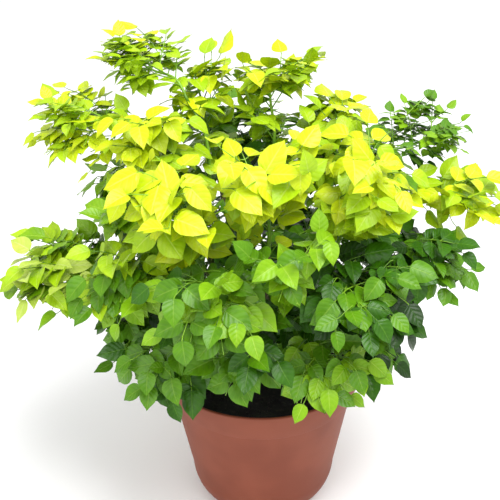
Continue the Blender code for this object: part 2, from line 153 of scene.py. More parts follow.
def smooth_step(low: float, high: float) -> dict:
    """A Map Range node's settings for a smooth step from 0 at low to 1 at high."""
    return {"interpolation_type": "SMOOTHSTEP", "From Min": low, "From Max": high}


def speckle(tree: bpy.types.NodeTree, size_mm: float, detail: float = 2.0) -> bpy.types.NodeSocket:
    """Noise on Object coordinates whose blotches are about this many millimetres wide."""
    place = add_node(tree, "ShaderNodeTexCoord")
    scale = {"Scale": 1 / (size_mm * MM), "Detail": detail}
    cloud = add_node(tree, "ShaderNodeTexNoise", scale, {"Vector": place.outputs["Object"]})
    return cloud.outputs["Fac"]


def mottled(
    tree: bpy.types.NodeTree,
    first: str | bpy.types.NodeSocket,
    second: str,
    size_mm: float,
    step: tuple[float, float],
    detail: float = 2.0,
) -> bpy.types.NodeSocket:
    """Two colours in blotches.

    Args:
        tree: the material's node tree.
        first: the colour where the noise is low, a hex code or a socket.
        second: the hex code of the colour where it is high.
        size_mm: the width of a blotch in millimetres.
        step: the noise values between which the colour turns.
        detail: the noise's detail.

    Returns:
        The colour's socket.
    """
    noise_value = speckle(tree, size_mm, detail)
    share = add_node(tree, "ShaderNodeMapRange", smooth_step(*step), {"Value": noise_value})
    settings = {"data_type": "RGBA", MIX_SECOND: linear(second)}
    links = {0: share.outputs["Result"]}
    if isinstance(first, str):
        settings[MIX_FIRST] = linear(first)
    else:
        links[MIX_FIRST] = first
    return add_node(tree, "ShaderNodeMix", settings, links).outputs[MIX_OUT]


def relief(
    tree: bpy.types.NodeTree, shader: bpy.types.Node, height: bpy.types.NodeSocket, deep_mm: float
) -> None:
    """Bumps a shader's normal by a height map of this depth in millimetres."""
    settings = {"Strength": 1.0, "Distance": deep_mm * MM}
    bump = add_node(tree, "ShaderNodeBump", settings, {"Height": height})
    tree.links.new(bump.outputs["Normal"], shader.inputs["Normal"])


@dataclass(frozen=True)
class MouldedPolypropylene:
    """Injection-moulded terracotta-coloured polypropylene, matt from a fine texture in the mould."""

    colour: str = "84442f"
    darker: str = "7a3c28"
    roughness: float = 0.55
    cloud_mm: float = 45
    grain_mm: float = 0.9
    grain_depth_mm: float = 0.06

    def make(self) -> bpy.types.Material:
        """The pot's material: a soft sheen, slow shifts of tone and a drawn-coarse mould grain."""
        made, tree, shader = new_material(
            "moulded_polypropylene", {"Roughness": self.roughness, "Specular IOR Level": 0.25}
        )
        colour = mottled(tree, self.colour, self.darker, self.cloud_mm, (0.35, 0.65))
        tree.links.new(colour, shader.inputs["Base Color"])
        relief(tree, shader, speckle(tree, self.grain_mm), self.grain_depth_mm)
        return made


@dataclass(frozen=True)
class MoistPeat:
    """Moist peat compost: near black, crumbly and dull, with paler dry fibres."""

    wet: str = "120f0d"
    dry: str = "2e2620"
    roughness: float = 0.9
    crumb_mm: float = 3.0
    crumb_depth_mm: float = 0.8
    detail: float = 4.0

    def make(self) -> bpy.types.Material:
        """The peat's material, mottled at the size of its crumbs."""
        made, tree, shader = new_material("moist_peat", {"Roughness": self.roughness})
        colour = mottled(tree, self.wet, self.dry, self.crumb_mm, (0.5, 0.75), self.detail)
        tree.links.new(colour, shader.inputs["Base Color"])
        relief(tree, shader, speckle(tree, self.crumb_mm, self.detail), self.crumb_depth_mm)
        return made


@dataclass(frozen=True)
class YoungBark:
    """Thin green-brown bark of young shoots, satin, with fine lengthwise ridges and pale pores."""

    green: str = "4a5a1c"
    brown: str = "5a4a26"
    pore: str = "9a9468"
    roughness: float = 0.6
    blotch_mm: float = 14
    pore_mm: float = 1.6
    ridge_mm: float = 1.1
    ridge_stretch: float = 0.16
    ridge_depth_mm: float = 0.25

    def make(self) -> bpy.types.Material:
        """The bark's material: blotches of green and brown, stretched ridges and small pores."""
        made, tree, shader = new_material("young_bark", {"Roughness": self.roughness})
        place = add_node(tree, "ShaderNodeTexCoord")
        scale = {"Scale": Vector((1, 1, self.ridge_stretch)) / (self.ridge_mm * MM)}
        drawn = add_node(tree, "ShaderNodeMapping", scale, {"Vector": place.outputs["Object"]})
        fine = {"Scale": 1.0, "Detail": 3.0}
        ridges = add_node(tree, "ShaderNodeTexNoise", fine, {"Vector": drawn.outputs[0]})
        base = mottled(tree, self.green, self.brown, self.blotch_mm, (0.42, 0.62))
        colour = mottled(tree, base, self.pore, self.pore_mm, (0.66, 0.72), 0.0)
        tree.links.new(colour, shader.inputs["Base Color"])
        relief(tree, shader, ridges.outputs["Fac"], self.ridge_depth_mm)
        return made


@dataclass(frozen=True)
class LeafStalk:
    """Smooth living stalk: light green, waxy, a little darker where it is older."""

    young: str = "8cbc2a"
    old: str = "4f7a1a"
    roughness: float = 0.42
    drift_mm: float = 30

    def make(self) -> bpy.types.Material:
        """The stalk's material, its green drifting over a few centimetres."""
        made, tree, shader = new_material("waxy_leaf_stalk", {"Roughness": self.roughness})
        colour = mottled(tree, self.young, self.old, self.drift_mm, (0.35, 0.65))
        tree.links.new(colour, shader.inputs["Base Color"])
        return made


@dataclass(frozen=True)
class LeafBlade:
    """A living leaflet of one age: waxy and glossy, with a lighter midrib and shallow side veins."""

    tone: Tone
    colour: str
    shade: str
    vein: str
    roughness: float = 0.36
    veins: float = 6.5
    vein_slant: float = 1.5
    side_vein_share: float = 0.25
    vein_share: float = 0.4
    blotch_mm: float = 11
    vein_depth_mm: float = 0.12

    def make(self) -> bpy.types.Material:
        """The leaflet's material, its veins drawn on the leaflet's own UV map."""
        made, tree, shader = new_material(
            f"leaf_blade_{self.tone.value}", {"Roughness": self.roughness, "Specular IOR Level": 0.3}
        )
        maths, step = "ShaderNodeMath", "ShaderNodeMapRange"
        place = add_node(tree, "ShaderNodeUVMap", {"uv_map": "leaf"})
        split = add_node(tree, "ShaderNodeSeparateXYZ", links={"Vector": place.outputs["UV"]})
        across = add_node(tree, maths, {"operation": "SUBTRACT", 1: 0.5}, {0: split.outputs["X"]})
        beside = add_node(tree, maths, {"operation": "ABSOLUTE"}, {0: across.outputs[0]})
        slant = {"operation": "MULTIPLY", 1: -self.vein_slant * 2}
        lag = add_node(tree, maths, slant, {0: beside.outputs[0]})
        count = {"operation": "MULTIPLY_ADD", 1: self.veins}
        run = add_node(tree, maths, count, {0: split.outputs["Y"], 2: lag.outputs[0]})
        wave = add_node(tree, maths, {"operation": "PINGPONG", 1: 0.5}, {0: run.outputs[0]})
        side_vein = add_node(tree, step, smooth_step(0.14, 0.02), {"Value": wave.outputs[0]})
        midrib = add_node(tree, step, smooth_step(0.045, 0.012), {"Value": beside.outputs[0]})
        fainter = {"operation": "MULTIPLY", 1: self.side_vein_share}
        faint = add_node(tree, maths, fainter, {0: side_vein.outputs["Result"]})
        both = {0: faint.outputs[0], 1: midrib.outputs["Result"]}
        marks = add_node(tree, maths, {"operation": "MAXIMUM"}, both)
        softer = {"operation": "MULTIPLY", 1: self.vein_share}
        soft = add_node(tree, maths, softer, {0: marks.outputs[0]})
        base = mottled(tree, self.colour, self.shade, self.blotch_mm, (0.36, 0.64))
        veined = {"data_type": "RGBA", MIX_SECOND: linear(self.vein)}
        colour = add_node(tree, "ShaderNodeMix", veined, {0: soft.outputs[0], MIX_FIRST: base})
        tree.links.new(colour.outputs[MIX_OUT], shader.inputs["Base Color"])
        swell = add_node(tree, step, smooth_step(0.0, 0.5), {"Value": wave.outputs[0]})
        heights = {0: swell.outputs["Result"], 1: midrib.outputs["Result"]}
        groove = add_node(tree, maths, {"operation": "SUBTRACT"}, heights)
        relief(tree, shader, groove.outputs[0], self.vein_depth_mm)
        return made


@dataclass(frozen=True)
class PaperFloor:
    """Matt white background paper."""

    colour: str = "fdfdfd"
    roughness: float = 0.95
    tooth_mm: float = 2.0
    tooth_depth_mm: float = 0.05

    def make(self) -> bpy.types.Material:
        """The floor's material, with the paper's faint tooth."""
        made, tree, shader = new_material(
            "background_paper", {"Roughness": self.roughness, "Base Color": linear(self.colour)}
        )
        relief(tree, shader, speckle(tree, self.tooth_mm), self.tooth_depth_mm)
        return made


BLADES = (
    LeafBlade(Tone.LIME, "c8da12", "bcd20e", "dbe76a"),
    LeafBlade(Tone.BRIGHT, "a4c614", "96bc10", "c4da60"),
    LeafBlade(Tone.FRESH, "7eac10", "709f0c", "a8c84a"),
    LeafBlade(Tone.MID, "588a0c", "4b7c08", "84aa38"),
    LeafBlade(Tone.DEEP, "356606", "2b5804", "5c8a24"),
    LeafBlade(Tone.DARK, "1c4002", "163402", "3c641a"),
    # Painted light: the pale blade stands in for full light washing out the leaflets.
    LeafBlade(Tone.PAINTED_LIGHT_PALE, "bcd256", "aec648", "d6e29a"),
)


def as_mesh(bm: bmesh.types.BMesh, name: str) -> bpy.types.Mesh:
    """Turns a bmesh into a mesh and frees it."""
    mesh = bpy.data.meshes.new(name)
    bm.to_mesh(mesh)
    bm.free()
    return mesh


def linked(name: str, data: bpy.types.ID) -> bpy.types.Object:
    """A new object with this data, in the scene."""
    made = bpy.data.objects.new(name, data)
    bpy.context.scene.collection.objects.link(made)
    return made


def shown(
    bm: bmesh.types.BMesh,
    name: str,
    material: bpy.types.Material,
    nodes: list[str],
    smooth: bool = True,
) -> bpy.types.Object:
    """Turns a bmesh into a finished piece that rides on the plant's body.

    Args:
        bm: the piece's mesh, which is freed.
        name: the piece's name.
        material: its finish.
        nodes: the solids that it stands for.
        smooth: whether its faces are shaded smooth.

    Returns:
        The new object.
    """
    for face in bm.faces:
        face.smooth = smooth
    made = linked(name, as_mesh(bm, name))
    made.data.materials.append(material)
    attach(made, BODY)
    if nodes:
        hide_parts(*nodes)
    log.info("%s: %d faces", name, len(made.data.polygons))
    return made


def turned(profile: list[tuple[float, float]], steps: int) -> bmesh.types.BMesh:
    """A closed shape spun round Z from a profile that starts and ends on the axis.

    Args:
        profile: (radius, height) points.
        steps: the number of steps round.

    Returns:
        The spun mesh, seams and poles merged, faces outwards.
    """
    bm = bmesh.new()
    points = [bm.verts.new((radius, 0, height)) for radius, height in profile]
    edges = [bm.edges.new(pair) for pair in zip(points, points[1:])]
    bmesh.ops.spin(
        bm, geom=points + edges, axis=UP, cent=(0, 0, 0), angle=tau, steps=steps, use_merge=True
    )
    bmesh.ops.remove_doubles(bm, verts=bm.verts, dist=WELD)
    bmesh.ops.recalc_face_normals(bm, faces=bm.faces)
    return bm


def arc(
    centre: tuple[float, float], radius: float, start: float, end: float, steps: int
) -> list[tuple[float, float]]:
    """Points on an arc in a profile's plane, angles in degrees."""
    angles = [radians(start + (end - start) * step / steps) for step in range(steps + 1)]
    return [(centre[0] + radius * cos(a), centre[1] + radius * sin(a)) for a in angles]


@dataclass
class Pot:
    """The moulded pot: a flared rim band with a rolled lip, a taper, a round heel and drain holes."""

    node: str = "pot"
    wall: float = 0.0025
    band_height: float = 0.0276
    band_foot_radius: float = 0.0759
    bead: float = 0.0006
    neck_radius: float = 0.0736
    neck_drop: float = 0.002
    neck_cove: float = 0.0008
    heel_radius: float = 0.060
    heel_height: float = 0.027
    foot_radius: float = 0.0433
    floor: float = 0.003
    drain_radius: float = 0.0045
    drain_circle: float = 0.028
    drain_holes: int = 5
    drain_sides: int = 24
    steps: int = 144
    heel_steps: int = 12
    sharp: float = 35
    height: float = field(init=False)
    rim_radius: float = field(init=False)

    def __post_init__(self) -> None:
        """Reads the rim's height and radius from the solid."""
        low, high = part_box(self.node)
        self.height = high.z
        self.rim_radius = (high.y - low.y) / 2

    def heel(self, inset: float, low: float) -> list[tuple[float, float]]:
        """The rounded heel from its top down, this far inside the outer side.

        Args:
            inset: the distance inside the outer side.
            low: the height of its lowest point.

        Returns:
            Points on a quarter ellipse.
        """
        wide = self.heel_radius - self.foot_radius
        tall = self.heel_height - low
        angles = [pi / 2 * step / self.heel_steps for step in range(self.heel_steps + 1)]
        start = self.foot_radius - inset
        return [(start + wide * cos(a), low + tall * (1 - sin(a))) for a in angles]

    def profile(self) -> list[tuple[float, float]]:
        """The wall's section: up the inside, over the lip and down the outside to the foot."""
        band_foot = self.height - self.band_height
        lip = self.wall / 2
        cove_height = band_foot - (self.neck_drop - self.neck_cove)
        points = [(0, self.floor)] + self.heel(self.wall, self.floor)[::-1]
        points += [
            (self.neck_radius - self.wall, band_foot - self.neck_drop),
            (self.band_foot_radius - self.wall, band_foot),
        ]
        points += arc((self.rim_radius - self.wall + lip, self.height - lip), lip, 180, 0, 8)
        points += arc((self.band_foot_radius - self.bead, band_foot + self.bead), self.bead, 0, -90, 4)
        points += arc((self.neck_radius + self.neck_cove, cove_height), self.neck_cove, 90, 180, 4)
        return points + self.heel(0, 0) + [(0, 0)]

    def drain_cutters(self) -> bpy.types.Object:
        """Short rods through the floor in a ring, to cut the drain holes."""
        bm = bmesh.new()
        for hole in range(self.drain_holes):
            angle = radians(90 + hole * 360 / self.drain_holes)
            place = Vector((cos(angle), sin(angle), 0)) * self.drain_circle
            bmesh.ops.create_cone(
                bm,
                cap_ends=True,
                segments=self.drain_sides,
                radius1=self.drain_radius,
                radius2=self.drain_radius,
                depth=self.floor * 4,
                matrix=Matrix.Translation(place),
            )
        return linked("drain_cutters", as_mesh(bm, "drain_cutters"))

    def build(self) -> bpy.types.Object:
        """Spins the pot, drills its drain holes and dresses it."""
        finish = MouldedPolypropylene().make()
        made = shown(turned(self.profile(), self.steps), "pot_shell", finish, [self.node])
        cutter = self.drain_cutters()
        drains = made.modifiers.new("drains", "BOOLEAN")
        drains.object = cutter
        drains.operation = "DIFFERENCE"
        drains.solver = "EXACT"
        bpy.context.view_layer.update()
        evaluated = made.evaluated_get(bpy.context.evaluated_depsgraph_get())
        drilled = bpy.data.meshes.new_from_object(evaluated)
        made.modifiers.clear()
        made.data = drilled
        drilled.set_sharp_from_angle(angle=radians(self.sharp))
        bpy.data.objects.remove(cutter)
        return made


@dataclass
class Peat:
    """The peat in the pot: a closed body whose top is lumpy, and loose crumbs on it."""

    node: str = "soil"
    rings: int = 34
    steps: int = 120
    # Radius and height of the peat's side, from the pot's neck down.
    side: tuple[tuple[float, float], ...] = ((0.0722, 0.104), (0.0570, 0.027), (0.0480, 0.0075))
    foot_radius: float = 0.0400
    lump: float = 0.0022
    # Broad, middle and fine lumps: how many to the metre, and their share of the height.
    lumps: tuple[tuple[float, float], ...] = ((55, 0.9), (210, 0.5), (520, 0.3))
    lump_level: float = 0.35
    edge_keep: float = 0.88
    edge_lump: float = 0.15
    crumbs: int = 420
    crumb_reach: float = 0.95
    crumb_size: tuple[float, float] = (0.0006, 0.0021)
    crumb_squash: tuple[float, float] = (0.6, 1.2)
    seed: int = 11

    def top_at(self, place: Vector, height: float, radius: float) -> float:
        """The height of the lumpy top under a point.

        Args:
            place: the point.
            height: the flat top's height.
            radius: the top's radius.

        Returns:
            The height there.
        """
        inside = 1 - max(0.0, (place.to_2d().length / radius - self.edge_keep) / (1 - self.edge_keep))
        broad, middle, fine = (noise.noise(place * count) * share for count, share in self.lumps)
        swell = broad + (middle + fine) - self.lump_level
        return height + swell * self.lump * max(inside, self.edge_lump)

    def loose_crumbs(self, height: float, radius: float) -> bmesh.types.BMesh:
        """Small turned and squashed lumps strewn on the top.

        Args:
            height: the flat top's height.
            radius: the top's radius.

        Returns:
            Their mesh.
        """
        random = Random(self.seed)
        crumbs, seedling = bmesh.new(), bmesh.new()
        bmesh.ops.create_icosphere(seedling, subdivisions=1, radius=1)
        lump = as_mesh(seedling, "crumb")
        for _ in range(self.crumbs):
            angle = random.uniform(0, tau)
            reach = radius * self.crumb_reach * random.random() ** 0.5
            place = Vector((cos(angle) * reach, sin(angle) * reach, 0))
            place.z = self.top_at(place, height, radius)
            size = random.uniform(*self.crumb_size)
            squash = Vector([size * random.uniform(*self.crumb_squash) for _ in range(3)])
            turn = Matrix.Rotation(random.uniform(0, tau), 4, "Z")
            tip = Matrix.Rotation(random.uniform(0, tau), 4, "X")
            copy = lump.copy()
            copy.transform(Matrix.Translation(place) @ turn @ tip @ Matrix.Diagonal((*squash, 1)))
            crumbs.from_mesh(copy)
            bpy.data.meshes.remove(copy)
        return crumbs

    def build(self) -> list[bpy.types.Object]:
        """Builds the body of peat and its loose crumbs."""
        finish = MoistPeat().make()
        low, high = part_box(self.node)
        radius = (high.y - low.y) / 2
        profile = [(radius * ring / self.rings, high.z) for ring in range(self.rings + 1)]
        bm = turned([*profile, *self.side, (self.foot_radius, low.z), (0, low.z)], self.steps)
        for vert in bm.verts:
            if vert.co.z > high.z - 1e-5:
                vert.co.z = self.top_at(vert.co, high.z, radius)
        body = shown(bm, "peat", finish, [self.node])
        crumbs = self.loose_crumbs(high.z, radius)
        return [body, shown(crumbs, "peat_crumbs", finish, [], smooth=False)]


@dataclass(frozen=True)
class Stem:
    """One stem: the azimuth of its foot and tip, their distances from the pot's axis, its tip's height."""

    name: str
    azimuth: float
    foot: float
    reach: float
    height: float


@dataclass(frozen=True)
class Tier:
    """What the masses of one tier share.

    length, width and depth size their space and rise is their stem's slope. leaf is the
    leaflet's length in the solids, which keeps the stem's tip inside the space, and sag
    is how far leaflets hang: 0 is straight out along their twig.
    """

    length: float
    width: float
    depth: float
    rise: float
    leaf: float
    sag: tuple[float, float]
    twig_pairs: int = 3


@dataclass(frozen=True)
class Mass:
    """One mass of foliage: what carries it, where its space lies, and how old and large its leaflets are;
    the darker tones of low masses are also painted shade under the crown.

    station is the height on its stem where its bough leaves, or None where the mass
    sits on the stem's own tip. An inner mass has no bough and sits on the stem's side.
    """

    name: str
    stem: str
    station: float | None
    azimuth: float
    reach: float
    height: float
    tier: Tier
    tones: tuple[Tone, Tone, Tone]
    leaflet: float
    inner: bool = False


# The gap between two solids that touch on the plant.
GAP = 0.0003
# How far each mass's space stays off the plane between it and the next.
CLEARANCE = 0.0006
FLARE_RADIUS = 0.0046
STEM_RADIUS = 0.0031
STEM_TIP_RADIUS = 0.0017
FLARE_HEIGHT = 0.012
STEM_POINTS = 8
BOUGH_RADIUS = 0.0017
BOUGH_TIP_RADIUS = 0.0012
BOUGH_POINTS = 5
OWN_STEM_POINTS = 4
# The power of a space's rounded block: 2 is an ellipsoid, more is squarer.
FULLNESS = 2.8
CROWN_HEART = Vector((0, 0, 0.2))
SOIL_TOP = 0.124
# Bark's relief: ridges, drawn out along the height by this factor, over broader lumps.
RIDGES_PER_M = 900
RIDGE_STRETCH = 0.25
LUMPS_PER_M = 420
LUMP_SHARE = 0.8

CROWN = Tier(0.124, 0.104, 0.090, 62, 0.042, (0.3, 0.9), 4)
BACK_CROWN = Tier(0.124, 0.104, 0.090, 62, 0.042, (0.1, 0.5))
MIDDLE = Tier(0.104, 0.108, 0.086, 14, 0.041, (0.2, 0.7))
LOW = Tier(0.096, 0.102, 0.076, -4, 0.037, (0.2, 0.7))
ARM = Tier(0.104, 0.090, 0.074, 6, 0.037, (-0.1, 0.3))
SPRAY = Tier(0.090, 0.080, 0.072, 24, 0.028, (0, 0.3))
INNER = Tier(0.096, 0.096, 0.086, 24, 0.040, (0.2, 0.7))

STEMS = (
    Stem("stem_left", 176, 0.026, 0.050, 0.252),
    Stem("stem_front_left", -132, 0.026, 0.060, 0.236),
    Stem("stem_front", -84, 0.026, 0.046, 0.248),
    Stem("stem_front_right", -32, 0.026, 0.058, 0.244),
    Stem("stem_right", 22, 0.026, 0.054, 0.258),
    Stem("stem_back", 76, 0.026, 0.046, 0.280),
    Stem("stem_back_left", 126, 0.026, 0.056, 0.276),
)

YOUNGEST = (Tone.LIME, Tone.LIME, Tone.BRIGHT)
YOUNG = (Tone.LIME, Tone.BRIGHT, Tone.BRIGHT)
GROWN = (Tone.BRIGHT, Tone.FRESH, Tone.MID)
FULL_GROWN = (Tone.FRESH, Tone.MID, Tone.DEEP)
# Older leaflets' darker tones, dealt to the lower and inner-side masses, and also painted shade under the
# crown.
OLD_AND_SHADED = (Tone.MID, Tone.DEEP, Tone.DARK)
# Its pale tone is painted light: full light washing out the leaflets of arm_left_low.
PAINTED_FULL_LIGHT = (Tone.PAINTED_LIGHT_PALE, Tone.BRIGHT, Tone.FRESH)

MASSES = (
    Mass("crown_left", "stem_left", None, 170, 0.070, 0.310, CROWN, YOUNG, 0.021),
    Mass("crown_front_left", "stem_front_left", None, -128, 0.084, 0.292, CROWN, YOUNGEST, 0.026),
    Mass("crown_front", "stem_front", None, -90, 0.062, 0.308, CROWN, YOUNGEST, 0.026),
    Mass("crown_front_right", "stem_front_right", None, -34, 0.080, 0.300, CROWN, YOUNG, 0.023),
    Mass("crown_right", "stem_right", None, 38, 0.060, 0.308, CROWN, YOUNG, 0.022),
    Mass("crown_back", "stem_back", None, 84, 0.054, 0.328, BACK_CROWN, YOUNG, 0.021),
    Mass("crown_back_left", "stem_back_left", None, 126, 0.066, 0.326, BACK_CROWN, YOUNG, 0.021),
    Mass("arm_left_low", "stem_left", 0.185, -177, 0.149, 0.213, ARM, PAINTED_FULL_LIGHT, 0.022),
    Mass("arm_left_high", "stem_left", 0.226, 162, 0.132, 0.311, ARM, YOUNG, 0.016),
    Mass("spray_top_left", "stem_back_left", 0.250, 142, 0.104, 0.348, SPRAY, YOUNG, 0.016),
    Mass("spray_right_high", "stem_right", 0.236, 14, 0.121, 0.297, SPRAY, FULL_GROWN, 0.011),
    Mass("arm_right", "stem_right", 0.200, -2, 0.134, 0.270, ARM, YOUNG, 0.021),
    Mass("arm_right_mid", "stem_front_right", 0.190, -16, 0.118, 0.244, ARM, OLD_AND_SHADED, 0.019),
    Mass("right_low", "stem_front_right", 0.165, -36, 0.090, 0.186, LOW, OLD_AND_SHADED, 0.023),
    Mass("front_right_low", "stem_front", 0.164, -66, 0.096, 0.192, LOW, FULL_GROWN, 0.019),
    Mass("front_low", "stem_front", 0.182, -98, 0.096, 0.200, LOW, OLD_AND_SHADED, 0.022),
    Mass("front_left_low", "stem_front_left", 0.164, -132, 0.098, 0.184, LOW, OLD_AND_SHADED, 0.021),
    Mass("left_low", "stem_left", 0.160, -160, 0.096, 0.186, LOW, OLD_AND_SHADED, 0.021),
    Mass("left_mid", "stem_front_left", 0.198, -152, 0.108, 0.240, MIDDLE, GROWN, 0.021),
    Mass("front_mid", "stem_front", 0.206, -108, 0.108, 0.250, MIDDLE, FULL_GROWN, 0.023),
    Mass("front_right_mid", "stem_front_right", 0.208, -54, 0.106, 0.246, MIDDLE, OLD_AND_SHADED, 0.021),
    Mass("inner_left", "stem_left", 0.222, -168, 0.090, 0.268, INNER, GROWN, 0.021, True),
    Mass("inner_front", "stem_front", 0.216, -80, 0.096, 0.276, INNER, FULL_GROWN, 0.022, True),
    Mass("inner_right", "stem_right", 0.226, 0, 0.094, 0.286, INNER, FULL_GROWN, 0.021, True),
    Mass("back_left", "stem_back_left", 0.200, 142, 0.116, 0.246, MIDDLE, GROWN, 0.021),
    Mass("back_mid", "stem_back", 0.212, 96, 0.112, 0.268, MIDDLE, GROWN, 0.021),
    Mass("back_right", "stem_right", 0.186, 44, 0.114, 0.250, MIDDLE, GROWN, 0.021),
    Mass("back_left_low", "stem_back_left", 0.165, 118, 0.104, 0.188, LOW, FULL_GROWN, 0.021),
    Mass("back_right_low", "stem_back", 0.165, 62, 0.104, 0.188, LOW, FULL_GROWN, 0.021),
)


def polar(azimuth: float, reach: float, height: float) -> Vector:
    """A point from its azimuth in degrees, its distance from the pot's axis and its height."""
    turn = radians(azimuth)
    return Vector((reach * cos(turn), reach * sin(turn), height))


def bezier(
    start: Vector, start_pull: Vector, end_pull: Vector, end: Vector, count: int
) -> list[Vector]:
    """This many points along a cubic curve from its ends and handles, even in its parameter."""
    points = []
    for step in range(count):
        t = step / (count - 1)
        u = 1 - t
        points.append(
            start * u**3 + start_pull * 3 * u * u * t + end_pull * 3 * u * t * t + end * t**3
        )
    return points


def smoothed(route: list[Vector], fineness: int) -> list[Vector]:
    """A route with this many steps between each pair of points, rounded through them."""
    ends = [route[0] * 2 - route[1]] + route + [route[-1] * 2 - route[-2]]
    fine = []
    for before, first, second, after in zip(ends, ends[1:], ends[2:], ends[3:]):
        bend = before * 2 - first * 5 + second * 4 - after
        twist = first * 3 - before - second * 3 + after
        for step in range(fineness):
            t = step / fineness
            fine.append((first * 2 + (second - before) * t + bend * t * t + twist * t**3) / 2)
    return fine + [route[-1]]


def spread(values: list[float], fineness: int) -> list[float]:
    """Values with this many even steps between each pair."""
    fine = []
    for first, second in zip(values, values[1:]):
        fine += [first + (second - first) * step / fineness for step in range(fineness)]
    return fine + [values[-1]]


def taper(first: float, last: float, count: int) -> list[float]:
    """This many values, evenly from the first to the last."""
    return [first + (last - first) * step / (count - 1) for step in range(count)]


def along(route: list[Vector], share: float) -> Vector:
    """The point at this share of a route of even steps, short of its end."""
    run = share * (len(route) - 1)
    return route[int(run)].lerp(route[int(run) + 1], run - int(run))


def stem_route(stem: Stem) -> list[Vector]:
    """A stem's centre line: upright through its flare, then leaning out to its tip."""
    foot = polar(stem.azimuth, stem.foot, SOIL_TOP + GAP)
    neck = foot + Vector((0, 0, FLARE_HEIGHT))
    tip = polar(stem.azimuth, stem.reach, stem.height)
    rise = tip.z - neck.z
    pull = neck + Vector((0, 0, rise * 0.4))
    lean = tip - (tip - pull).normalized() * rise * 0.3
    collar = foot + Vector((0, 0, FLARE_HEIGHT * 0.35))
    return [foot, collar] + bezier(neck, pull, lean, tip, STEM_POINTS - 2)


def stem_radii() -> list[float]:
    """Radii along a stem: the root flare at the soil, then a long taper."""
    collar = (FLARE_RADIUS + STEM_RADIUS * 2) / 3
    return [FLARE_RADIUS, collar] + taper(STEM_RADIUS, STEM_TIP_RADIUS, STEM_POINTS - 2)


def axes_of(mass: Mass) -> tuple[Vector, Vector, Vector]:
    """The mass's own directions: along its stem, sideways and up from both."""
    outward = polar(mass.azimuth, 1, 0)
    ahead = outward * cos(radians(mass.tier.rise)) + Vector((0, 0, sin(radians(mass.tier.rise))))
    side = UP.cross(outward)
    return ahead, side, ahead.cross(side)


def centre_of(mass: Mass) -> Vector:
    """The centre of the mass's space."""
    return polar(mass.azimuth, mass.reach, mass.height)


def stem_seat(
    mass: Mass, route: list[Vector], radii: list[float], aim: Vector
) -> tuple[Vector, Vector]:
    """Where a bough leaves its stem.

    Args:
        mass: the mass that the bough carries.
        route: the stem's centre line.
        radii: the stem's radii.
        aim: the point that the bough heads for.

    Returns:
        A point one gap off the stem's side, and the way out there.
    """
    for step, (low, high) in enumerate(zip(route, route[1:])):
        if low.z <= mass.station <= high.z:
            share = (mass.station - low.z) / (high.z - low.z)
            start, rise = low.lerp(high, share), (high - low).normalized()
            radius = radii[step] + (radii[step + 1] - radii[step]) * share
            way = aim - start
            out = (way - rise * way.dot(rise)).normalized()
            return start + out * (radius + GAP), out
    raise ValueError("a bough leaves its stem outside the stem's height")


def bough_route(mass: Mass, route: list[Vector], radii: list[float]) -> list[Vector]:
    """A bough's centre line: square out of its stem, then along its mass's direction."""
    ahead, _, _ = axes_of(mass)
    entry = centre_of(mass) - ahead * (mass.tier.length / 2 * 0.94)
    seat, out = stem_seat(mass, route, radii, entry)
    pull = (entry - seat).length * 0.38
    points = bezier(seat, seat + out * pull, entry - ahead * pull, entry, BOUGH_POINTS)
    points[1] = seat + out * (points[1] - seat).length
    return points


def tube(route: list[Vector], radii: list[float], sides: int, rough: float = 0.0) -> bpy.types.Mesh:
    """A closed tapering tube along a route, its surface roughened a little.

    Args:
        route: the centre line.
        radii: a radius for each point.
        sides: sides round.
        rough: how far the relief stands out, as a share of the radius.

    Returns:
        The tube's mesh.
    """
    bm = bmesh.new()
    directions = [(b - a).normalized() for a, b in zip(route, route[1:])]
    directions.append(directions[-1])
    turn = directions[0].to_track_quat("Z", "Y").to_matrix().to_4x4()
    start = Matrix.Translation(route[0]) @ turn
    bmesh.ops.create_circle(bm, cap_ends=True, segments=sides, radius=radii[0], matrix=start)
    bmesh.ops.reverse_faces(bm, faces=bm.faces[:])
    edges = bm.edges[:]
    for index in range(1, len(route)):
        extruded = bmesh.ops.extrude_edge_only(bm, edges=edges)["geom"]
        edges = [part for part in extruded if isinstance(part, bmesh.types.BMEdge)]
        before, after = route[index - 1], route[index]
        bend = directions[index - 1].rotation_difference(directions[index]).to_matrix()
        swell = radii[index] / radii[index - 1]
        for vert in {vert for edge in edges for vert in edge.verts}:
            vert.co = after + bend @ ((vert.co - before) * swell)
    bmesh.ops.holes_fill(bm, edges=edges)
    if rough:
        bmesh.ops.recalc_face_normals(bm, faces=bm.faces)
        for vert in bm.verts:
            place = Vector((vert.co.x, vert.co.y, vert.co.z * RIDGE_STRETCH))
            ridge = noise.noise(place * RIDGES_PER_M)
            lump = noise.noise(vert.co * LUMPS_PER_M) * LUMP_SHARE
            vert.co += vert.normal * (ridge + lump) * rough * radii[0]
    if bm.calc_volume(signed=True) < 0:
        bmesh.ops.reverse_faces(bm, faces=bm.faces)
    return as_mesh(bm, "tube")


class Joined:
    """Gathers small meshes into one."""

    def __init__(self) -> None:
        """Starts empty."""
        self.bm = bmesh.new()

    def take(self, mesh: bpy.types.Mesh) -> None:
        """Adds a mesh and removes it."""
        self.bm.from_mesh(mesh)
        bpy.data.meshes.remove(mesh)


